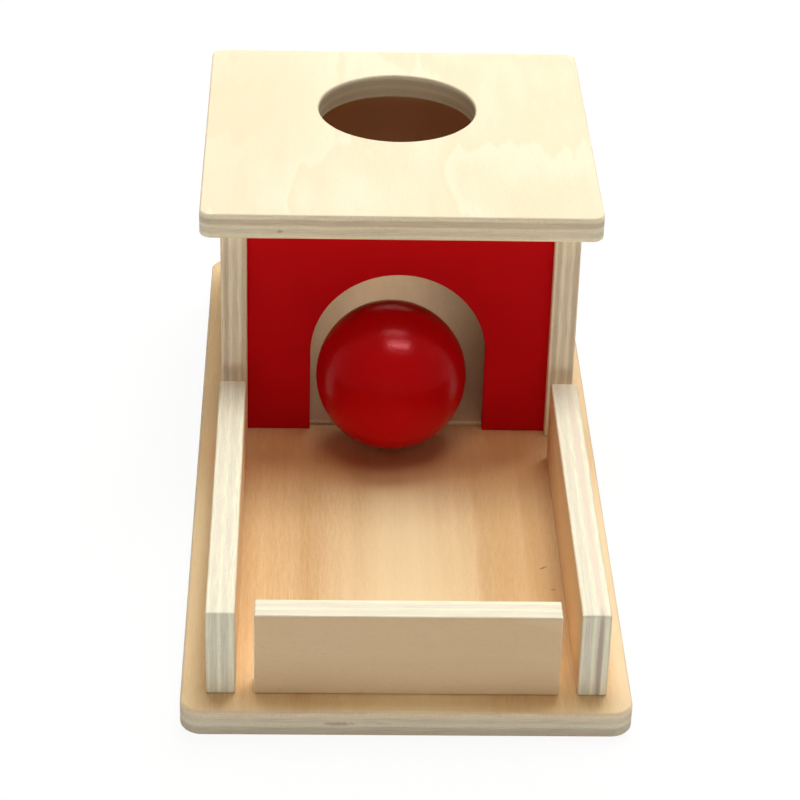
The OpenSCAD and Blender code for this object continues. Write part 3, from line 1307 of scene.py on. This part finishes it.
def screw_tree() -> bpy.types.NodeTree:
    """Tree that stands a countersunk cross-head wood screw, point up, on every point of a mesh.

    Returns:
        The tree.
    """
    sheet = GeometrySheet("base_screws")
    head_r = sheet.size("Head radius")
    shank_r = sheet.size("Shank radius")
    length = sheet.size("Length")
    tip = sheet.size("Tip length")
    recess = sheet.size("Recess length")
    slit = sheet.size("Recess width")
    finish = sheet.size("Finish", GeometrySheet.MATERIAL)
    head_h = sheet.math("SUBTRACT", head_r, shank_r)

    def cone(bottom: Any, top: Any, depth: Any, height: Any) -> bpy.types.NodeSocket:
        """One turned part of the screw, from a height up."""
        node = sheet.add("GeometryNodeMeshCone", fill_type="NGON")
        sheet.feed(node.inputs["Vertices"], SCREW_SIDES)
        sheet.feed(node.inputs["Radius Bottom"], bottom)
        sheet.feed(node.inputs["Radius Top"], top)
        sheet.feed(node.inputs["Depth"], depth)
        return sheet.lifted(node.outputs[0], height)

    rim = sheet.math("MULTIPLY", head_r, RIM_SHARE)
    disc = cone(head_r, head_r, rim, 0.0)
    head = cone(head_r, shank_r, head_h, rim)
    core_r = sheet.math("MULTIPLY", shank_r, CORE_SHARE)
    smooth_l = sheet.math("MULTIPLY", length, SMOOTH_SHARE)
    thread_l = sheet.math("SUBTRACT", sheet.math("SUBTRACT", length, smooth_l), tip)
    shank = cone(shank_r, shank_r, smooth_l, head_h)
    core = cone(core_r, core_r, thread_l, smooth_l)
    point_r = sheet.math("MULTIPLY", core_r, POINT_SHARE)
    point = cone(core_r, point_r, tip, sheet.math("SUBTRACT", length, tip))
    spiral = sheet.add("GeometryNodeCurveSpiral")
    sheet.feed(spiral.inputs["Resolution"], THREAD_STEPS)
    sheet.feed(spiral.inputs["Rotations"], THREAD_TURNS)
    sheet.feed(spiral.inputs["Start Radius"], core_r)
    sheet.feed(spiral.inputs["End Radius"], core_r)
    sheet.feed(spiral.inputs["Height"], thread_l)
    ridge = sheet.add("GeometryNodeCurvePrimitiveCircle", mode="RADIUS")
    sheet.feed(ridge.inputs["Resolution"], RIDGE_SIDES)
    sheet.feed(ridge.inputs["Radius"], sheet.math("MULTIPLY", shank_r, RIDGE_SHARE))
    thread = sheet.add("GeometryNodeCurveToMesh")
    sheet.feed(thread.inputs["Curve"], spiral.outputs[0])
    sheet.feed(thread.inputs["Profile Curve"], ridge.outputs[0])
    sheet.feed(thread.inputs["Fill Caps"], True)
    thread_up = sheet.lifted(thread.outputs[0], smooth_l)
    cuts = []
    for long_way in (True, False):
        block = sheet.add("GeometryNodeMeshCube")
        size = sheet.add("ShaderNodeCombineXYZ")
        sheet.feed(size.inputs[0], recess if long_way else slit)
        sheet.feed(size.inputs[1], slit if long_way else recess)
        sheet.feed(size.inputs[2], sheet.math("MULTIPLY", head_h, RECESS_DEPTH_SHARE))
        sheet.feed(block.inputs["Size"], size.outputs[0])
        cuts.append(block.outputs[0])
    turned = sheet.add("GeometryNodeMeshBoolean", operation="UNION", solver="EXACT")
    for part in (disc, head):
        sheet.feed(turned.inputs["Mesh 2"], part)
    carved = sheet.add("GeometryNodeMeshBoolean", operation="DIFFERENCE", solver="EXACT")
    sheet.feed(carved.inputs["Mesh 1"], turned.outputs[0])
    for cut in cuts:
        sheet.feed(carved.inputs["Mesh 2"], cut)
    screw = sheet.joined(carved.outputs[0], shank, core, point, thread_up)
    stood = sheet.add("GeometryNodeInstanceOnPoints")
    sheet.feed(stood.inputs["Points"], sheet.entry.outputs[0])
    sheet.feed(stood.inputs["Instance"], screw)
    return sheet.end(stood.outputs[0], finish)


# Sub-assemblies


def report_piece(obj: bpy.types.Object, body: str, slot: Slot, *nodes: str) -> bpy.types.Object:
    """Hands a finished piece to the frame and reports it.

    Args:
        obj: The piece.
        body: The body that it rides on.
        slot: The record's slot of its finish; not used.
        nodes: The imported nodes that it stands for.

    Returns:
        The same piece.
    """
    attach(obj, body)
    if nodes:
        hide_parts(*nodes)
    LOG.info("%s: %d faces, rides on %s", obj.name, len(obj.data.polygons), body)
    return obj


def coat(obj: bpy.types.Object, material: bpy.types.Material) -> None:
    """Gives a piece one material.

    Args:
        obj: The piece.
        material: Its finish.
    """
    obj.data.materials.clear()
    obj.data.materials.append(material)


@dataclass
class BoardMaker:
    """Makes plain plywood boards from their packed boxes."""

    arris: float = 0.7 * MM

    def lay(self, node: str, thickness_axis: Axis, grain_axis: Axis, seed: int) -> Lay:
        """How a packed board lies.

        Args:
            node: The board's node.
            thickness_axis: Axis of its thickness.
            grain_axis: Axis of its face grain.
            seed: Number that sets its grain apart from the other boards'.

        Returns:
            Its lay.
        """
        low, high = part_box(node)
        axis = thickness_axis.value
        return Lay(thickness_axis, grain_axis, low[axis], high[axis] - low[axis], seed)

    def plain(self, node: str, name: str, veneer: Veneer, edge: PlyEdge, lay: Lay,
              marks: Sequence[Mark] = ()) -> bpy.types.Object:
        """A rectangular board with eased arrises.

        Args:
            node: The board's node.
            name: The piece's name.
            veneer: Its faces.
            edge: Its cut edges.
            lay: How it lies.
            marks: Knots, streaks and patches of painted light or shade on it.

        Returns:
            The finished piece.
        """
        low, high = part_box(node)
        obj = prism(name, rectangle(low, high, Axis.Z), Axis.Z, low.z, high.z)
        ease_arrises(obj, self.arris)
        coat(obj, Plywood(f"{name}_plywood", veneer, edge, lay, marks).build())
        return report_piece(obj, BOX_BODY, Slot.BIRCH, node)


@dataclass
class BaseBoard:
    """The long board under everything, with countersinks for the screws."""

    corner_r: float = 7.5 * MM
    arris: float = 1.2 * MM
    sink_r: float = 4.0 * MM
    shank_r: float = 1.85 * MM
    sink_over: float = 1.0 * MM
    sink_lap: float = 0.1 * MM
    hole_top: float = 12.0 * MM
    sink_steps: int = 48

    def build(self, tree: bpy.types.NodeTree, frame: dict[str, Any]) -> None:
        """Makes and dresses the board.

        Args:
            tree: The tree of a round board.
            frame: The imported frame.
        """
        low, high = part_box("base_board")
        lay = BoardMaker().lay("base_board", Axis.Z, Axis.Y, 3)
        finish = Plywood("base_plywood_painted_light", BASE_VENEER, BASE_PLY, lay, BASE_MARKS_AND_PAINTED_LIGHT).build()
        obj = linked_object("base", bpy.data.meshes.new("base"))
        use_tree(obj, tree, {
            "Width": high.x - low.x,
            "Length": high.y - low.y,
            "Thickness": high.z - low.z,
            "Corner radius": self.corner_r,
            "Finish": finish,
        })
        close_mesh(obj.data)
        ease_arrises(obj, self.arris)
        self._sink(obj, [frame["nodes"][name] for name in ("box_screws", "tray_screws")])
        coat(obj, finish)
        report_piece(obj, BOX_BODY, Slot.BASE, "base_board")

    def _sink(self, board: bpy.types.Object, screws: Sequence[bpy.types.Object]) -> None:
        """Cuts a countersink and a hole for every screw.

        Args:
            board: The board to cut.
            screws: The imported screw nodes.
        """
        over = self.sink_over
        shape = bmesh.new()
        for node in screws:
            for low, high in island_boxes(node):
                spot = Vector(((low.x + high.x) / 2, (low.y + high.y) / 2, 0.0))
                depth = self.sink_r - self.shank_r
                for bottom, top, start, end in (
                    (self.sink_r + over, self.shank_r, -over, depth),
                    (self.shank_r, self.shank_r, depth - self.sink_lap, self.hole_top),
                ):
                    place = Matrix.Translation(spot + Vector((0.0, 0.0, (start + end) / 2)))
                    bmesh.ops.create_cone(shape, cap_ends=True, segments=self.sink_steps, radius1=bottom,
                                          radius2=top, depth=end - start, matrix=place)
        mesh = bpy.data.meshes.new("sinks")
        shape.to_mesh(mesh)
        shape.free()
        cutter = linked_object("sinks", mesh)
        cut = board.modifiers.new("sinks", "BOOLEAN")
        cut.operation = "DIFFERENCE"
        cut.solver = "EXACT"
        cut.use_self = True
        cut.object = cutter
        settle(board)
        bpy.data.objects.remove(cutter)
        bpy.data.meshes.remove(mesh)


@dataclass
class Box:
    """The walls, the lid, the arched front panel and the ramp."""

    lid_corner_r: float = 4.5 * MM
    lid_arris: float = 1.0 * MM
    arch_w: float = 66.0 * MM
    arch_h: float = 67.0 * MM
    groove_gap: float = 0.2 * MM
    groove_depth: float = 3.0 * MM
    panel_arris: float = 0.35 * MM
    ramp_arris: float = 0.4 * MM
    arch_steps: int = 64
    boards: BoardMaker = field(default_factory=BoardMaker)

    def build(self, tree: bpy.types.NodeTree, frame: dict[str, Any]) -> None:
        """Makes and dresses all the boards of the box.

        Args:
            tree: The tree of a round board.
            frame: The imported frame.
        """
        self._side_wall("left_wall", -1.0, 11)
        self._side_wall("right_wall", 1.0, 12)
        lay = self.boards.lay("back_wall", Axis.Y, Axis.X, 13)
        self.boards.plain("back_wall", "back", TAN_VENEER, FIVE_PLY, lay, BACK_PAINTED_SHADE)
        self._lid(tree, frame["record"])
        self._panel()
        self._ramp(frame["nodes"]["ramp_board"])

    def _side_wall(self, node: str, side: float, seed: int) -> None:
        """One side wall with its groove for the front panel.

        Args:
            node: The wall's node.
            side: -1 for the left wall and 1 for the right one.
            seed: Number that sets its grain apart.
        """
        low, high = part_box(node)
        panel_low, panel_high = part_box("front_panel")
        inner, outer = (low.x, high.x) if side > 0 else (high.x, low.x)
        floor = inner + side * self.groove_depth
        front = panel_low.y - self.groove_gap
        back = panel_high.y + self.groove_gap
        outline = [
            (outer, low.y), (inner, low.y), (inner, front), (floor, front),
            (floor, back), (inner, back), (inner, high.y), (outer, high.y),
        ]
        obj = prism(node.replace("_wall", "_side"), outline, Axis.Z, low.z, high.z)
        ease_arrises(obj, self.boards.arris)
        lay = self.boards.lay(node, Axis.X, Axis.Z, seed)
        coat(obj, Plywood(f"{node}_plywood", TAN_VENEER, WALL_PLY, lay).build())
        report_piece(obj, BOX_BODY, Slot.BIRCH, node)

    def _lid(self, tree: bpy.types.NodeTree, record: dict[str, Any]) -> None:
        """The lid with its round hole.

        Args:
            tree: The tree of a round board.
            record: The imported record, which holds the hole's place and radius.
        """
        low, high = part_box("lid_board")
        hole = next(mount for mount in record["mounts"] if mount["name"] == "ball_hole")
        middle = (low + high) / 2
        lay = self.boards.lay("lid_board", Axis.Z, Axis.Y, 21)
        finish = Plywood("lid_plywood", LID_VENEER, FIVE_PLY, lay, LID_MARKS_AND_PAINTED_SHADE).build()
        obj = linked_object("lid", bpy.data.meshes.new("lid"))
        use_tree(obj, tree, {
            "Width": high.x - low.x,
            "Length": high.y - low.y,
            "Thickness": high.z - low.z,
            "Corner radius": self.lid_corner_r,
            "Hole radius": hole["dims"]["r_mm"] * MM,
            "Hole setback": hole["pos_m"][1] - middle.y,
            "Finish": finish,
        })
        obj.data.transform(Matrix.Translation((middle.x, middle.y, low.z)))
        close_mesh(obj.data)
        ease_arrises(obj, self.lid_arris)
        coat(obj, finish)
        report_piece(obj, BOX_BODY, Slot.BIRCH, "lid_board")

    def _panel(self) -> None:
        """The red front panel, with its arch."""
        low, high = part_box("front_panel")
        radius = self.arch_w / 2
        spring = low.z + self.arch_h - radius
        turns = [math.pi * i / self.arch_steps for i in range(self.arch_steps + 1)]
        arc = [(radius * math.cos(turn), spring + radius * math.sin(turn)) for turn in turns]
        outline = [(low.x, low.z), (low.x, high.z), (high.x, high.z), (high.x, low.z), (radius, low.z)]
        outline += arc + [(-radius, low.z)]
        obj = prism("arched_front", outline, Axis.Y, low.y, high.y)
        ease_arrises(obj, self.panel_arris, 3)
        coat(obj, PaintCoat("satin_red_paint", PANEL_PAINT, Axis.X).build())
        report_piece(obj, BOX_BODY, Slot.PAINT, "front_panel")

    def _ramp(self, node: bpy.types.Object) -> None:
        """The sloping board inside.

        Args:
            node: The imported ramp, which gives the profile.
        """
        low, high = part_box("ramp_board")
        obj = prism("ramp", node_profile(node, Axis.X), Axis.X, low.x, high.x)
        ease_arrises(obj, self.ramp_arris, 3)
        lay = Lay(Axis.Z, Axis.Y, low.z, high.z - low.z, 31)
        coat(obj, Plywood("ramp_plywood_painted_shade", RAMP_VENEER_PAINTED_SHADE, THREE_PLY, lay).build())
        report_piece(obj, BOX_BODY, Slot.BIRCH, "ramp_board")


@dataclass
class Tray:
    """The three rails on the base board."""

    boards: BoardMaker = field(default_factory=BoardMaker)

    def build(self) -> None:
        """Makes and dresses the rails."""
        for node, axes, veneer, marks, seed in (
            ("left_rail", (Axis.X, Axis.Y), TAN_VENEER, (), 41),
            ("right_rail", (Axis.X, Axis.Y), TAN_VENEER, RIGHT_RAIL_MARKS, 42),
            ("front_rail", (Axis.Y, Axis.X), FRONT_VENEER, (), 43),
        ):
            lay = self.boards.lay(node, *axes, seed)
            self.boards.plain(node, f"{node}_board", veneer, RAIL_PLY, lay, marks)


@dataclass
class Ball:
    """The turned and lacquered ball."""

    fineness: int = 6
    wobble: float = 0.03 * MM
    wobble_mm: float = 14.0

    def build(self) -> None:
        """Makes and dresses the ball."""
        low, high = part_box("ball")
        centre = (low + high) / 2
        radius = (high.z - low.z) / 2 - self.wobble
        shape = bmesh.new()
        bmesh.ops.create_icosphere(shape, subdivisions=self.fineness, radius=radius)
        for vert in shape.verts:
            swell = noise.noise(vert.co * PER_MM / self.wobble_mm)
            vert.co += vert.co.normalized() * swell * self.wobble
            vert.co += centre
        mesh = bpy.data.meshes.new("rolling_ball")
        shape.to_mesh(mesh)
        shape.free()
        for polygon in mesh.polygons:
            polygon.use_smooth = True
        obj = linked_object("rolling_ball", mesh)
        coat(obj, PaintCoat("gloss_red_lacquer", BALL_LACQUER, Axis.X).build())
        report_piece(obj, BALL_BODY, Slot.LACQUER, "ball")


@dataclass
class Fixings:
    """Screws under the base, and the dowels and batten that stay hidden."""

    head_r: float = 3.5 * MM
    shank_r: float = 1.75 * MM
    tip: float = 4.0 * MM
    recess: float = 3.8 * MM
    slit: float = 0.9 * MM

    def build(self, frame: dict[str, Any]) -> None:
        """Makes the screws and dresses the hidden pieces.

        Args:
            frame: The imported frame.
        """
        tree = screw_tree()
        steel = steel_material()
        for node in ("box_screws", "tray_screws"):
            self._screws(frame["nodes"][node], node, tree, steel)
        beech = beech_material()
        for node in ("ramp_cleat", "lid_dowels", "back_wall_dowels"):
            coat(frame["nodes"][node], beech)
            LOG.info("%s: packed solid in beech", node)

    def _screws(self, packed: bpy.types.Object, node: str, tree: bpy.types.NodeTree,
                steel: bpy.types.Material) -> None:
        """One group of screws.

        Args:
            packed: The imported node.
            node: Its name.
            tree: The tree that stands screws on points.
            steel: Their finish.
        """
        boxes = island_boxes(packed)
        spots = [((low.x + high.x) / 2, (low.y + high.y) / 2, low.z) for low, high in boxes]
        length = boxes[0][1].z - boxes[0][0].z
        mesh = bpy.data.meshes.new(f"{node}_steel")
        mesh.from_pydata(spots, [], [])
        obj = linked_object(f"{node}_steel", mesh)
        use_tree(obj, tree, {
            "Head radius": self.head_r,
            "Shank radius": self.shank_r,
            "Length": length,
            "Tip length": self.tip,
            "Recess length": self.recess,
            "Recess width": self.slit,
            "Finish": steel,
        })
        report_piece(obj, BOX_BODY, Slot.STEEL, node)


@dataclass(frozen=True)
class Lamp:
    """A soft lamp: its direction from the box in degrees, its size, its power and its colour."""

    name: str
    azimuth: float
    elevation: float
    size: Point2
    watts: float
    tint: Colour = (1.0, 1.0, 1.0)


LAMPS = (
    Lamp("rear_right_sheet", 150.0, 58.0, (1.5, 1.5), 33.5),
    Lamp("rear_low_sheet", 180.0, 36.0, (1.5, 1.2), 19.0),
    Lamp("rear_top_sheet", 180.0, 72.0, (1.5, 1.2), 38.0),
    Lamp("left_sheet", 270.0, 30.0, (1.2, 1.2), 3.0),
    Lamp("right_sheet", 90.0, 40.0, (1.2, 1.2), 3.0),
    Lamp("front_sheet", 0.0, 9.0, (1.6, 0.6), 14.5),
    Lamp("warm_top_sheet", 30.0, 80.0, (1.2, 0.9), 13.5, (1.0, 0.8, 0.62)),
)
GLOSS_CARDS = (
    ("front_card", (0.28, -0.37, 1.55), (0.85, 0.26), 30.0),
    ("rear_card", (0.11, 0.23, 1.60), (0.75, 0.24), 8.0),
)


@dataclass
class Studio:
    """Floor, lights, world and camera."""

    lamp_distance: float = 2.8
    aim: tuple[float, float, float] = (0.0, 0.0, 0.05)
    clip_start: float = 0.01
    floor_thickness: float = 0.01
    camera_place: tuple[float, float, float] = (-0.03306, -0.89036, 0.56333)
    camera_turn_deg: float = -2.164
    camera_tilt_deg: float = 59.333
    camera_roll_deg: float = 1.675
    lens_mm: float = 124.92
    sensor_mm: float = 36.0
    floor_half: float = 3.0
    floor_drop: float = 0.1 * MM
    floor_glow: float = 0.92
    floor_shade: float = 0.08
    floor_bounce: float = 0.85
    fill: Colour = (0.01, 0.008, 0.006)

    def build(self) -> None:
        """Makes the whole studio."""
        scene = bpy.context.scene
        scene.view_settings.view_transform = "Standard"
        self._camera(scene)
        self._floor()
        self._world(scene)
        for lamp in LAMPS:
            self._lamp(lamp)
        for card in GLOSS_CARDS:
            self._card(*card)

    def _sky(self, azimuth: float, elevation: float) -> tuple[float, float, float]:
        """A place round the object, at the lamps' distance.

        Args:
            azimuth: Degrees round it, 0 at the front and 90 at the right.
            elevation: Degrees above the floor.

        Returns:
            The place.
        """
        a, e = math.radians(azimuth), math.radians(elevation)
        flat = self.lamp_distance * math.cos(e)
        return flat * math.sin(a), -flat * math.cos(a), self.lamp_distance * math.sin(e)

    def _camera(self, scene: bpy.types.Scene) -> None:
        """Camera at the photograph's viewing angle."""
        data = bpy.data.cameras.new("camera")
        data.lens = self.lens_mm
        data.sensor_width = self.sensor_mm
        data.clip_start = self.clip_start
        camera = bpy.data.objects.new("camera", data)
        turn = Matrix.Rotation(math.radians(self.camera_turn_deg), 4, "Z")
        tilt = Matrix.Rotation(math.radians(self.camera_tilt_deg), 4, "X")
        roll = Matrix.Rotation(math.radians(self.camera_roll_deg), 4, "Z")
        camera.matrix_world = Matrix.Translation(self.camera_place) @ turn @ tilt @ roll
        scene.collection.objects.link(camera)
        scene.camera = camera

    @staticmethod
    def _seen(sheet: NodeSheet) -> bpy.types.NodeSocket:
        """1 for rays that show the background, directly or by gloss or glass, and 0 for others."""
        path = sheet.add("ShaderNodeLightPath")
        seen = sheet.math("MAXIMUM", path.outputs["Is Camera Ray"], path.outputs["Is Glossy Ray"])
        return sheet.math("MAXIMUM", seen, path.outputs["Is Transmission Ray"])

    def _floor(self) -> None:
        """Pale floor that looks white and keeps a soft shadow."""
        half = self.floor_half
        obj = prism("floor", [(-half, -half), (half, -half), (half, half), (-half, half)], Axis.Z,
                    -self.floor_thickness - self.floor_drop, -self.floor_drop)
        material, sheet = shader_sheet("white_floor")
        seen = self._seen(sheet)
        matt = sheet.add("ShaderNodeBsdfDiffuse")
        matt.inputs["Color"].default_value = (*(self.floor_bounce,) * 3, 1.0)
        dim = sheet.add("ShaderNodeBsdfDiffuse")
        dim.inputs["Color"].default_value = (*(self.floor_shade,) * 3, 1.0)
        glow = sheet.add("ShaderNodeEmission")
        glow.inputs["Strength"].default_value = self.floor_glow
        shown = sheet.add("ShaderNodeAddShader")
        sheet.feed(shown.inputs[0], dim.outputs[0])
        sheet.feed(shown.inputs[1], glow.outputs[0])
        either = sheet.add("ShaderNodeMixShader")
        sheet.feed(either.inputs[0], seen)
        sheet.feed(either.inputs[1], matt.outputs[0])
        sheet.feed(either.inputs[2], shown.outputs[0])
        sheet.surface(either.outputs[0])
        coat(obj, material)

    def _world(self, scene: bpy.types.Scene) -> None:
        """Even fill light, white to the camera."""
        world = bpy.data.worlds.new("studio")
        world.use_nodes = True
        sheet = NodeSheet(world.node_tree)
        back = sheet.add("ShaderNodeBackground")
        sheet.feed(back.inputs["Color"], sheet.mix(self._seen(sheet), self.fill, (1.0, 1.0, 1.0)))
        out = sheet.add("ShaderNodeOutputWorld")
        sheet.feed(out.inputs["Surface"], back.outputs[0])
        scene.world = world

    @staticmethod
    def _panel_light(name: str, place: tuple[float, float, float], size: Point2,
                     watts: float) -> bpy.types.Object:
        """A flat light that hangs level and faces down.

        Args:
            name: The light's name.
            place: Where it hangs.
            size: Its width and depth.
            watts: Its power.

        Returns:
            The new light.
        """
        data = bpy.data.lights.new(name, "AREA")
        data.shape = "RECTANGLE"
        data.size, data.size_y = size
        data.energy = watts
        lamp = bpy.data.objects.new(name, data)
        lamp.location = place
        lamp.visible_camera = False
        bpy.context.scene.collection.objects.link(lamp)
        return lamp

    def _lamp(self, lamp: Lamp) -> None:
        """Hangs a soft lamp that points at the box and doesn't show in its gloss.

        Args:
            lamp: The lamp.
        """
        place = self._sky(lamp.azimuth, lamp.elevation)
        light = self._panel_light(lamp.name, place, lamp.size, lamp.watts)
        light.data.color = lamp.tint
        aim = Vector(self.aim) - Vector(place)
        light.rotation_euler = aim.to_track_quat("-Z", "Y").to_euler()
        light.visible_glossy = False

    def _card(self, name: str, place: tuple[float, float, float], size: Point2, watts: float) -> None:
        """A level bright card that only gloss shows.

        Args:
            name: The card's name.
            place: Where it hangs.
            size: Its width and depth.
            watts: Its power.
        """
        self._panel_light(name, place, size, watts).visible_diffuse = False


def corners(box: Sequence[Sequence[float]]) -> list[list[float]]:
    """A box as plain lists of numbers."""
    return [list(map(float, corner)) for corner in box]


def main() -> None:
    """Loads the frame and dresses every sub-assembly."""
    logging.basicConfig(level=logging.INFO, format="%(name)s: %(message)s")
    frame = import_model()
    Studio().build()
    tree = round_board_tree()
    BaseBoard().build(tree, frame)
    Box().build(tree, frame)
    Tray().build()
    Ball().build()
    Fixings().build(frame)


if __name__ == "__main__":
    main()
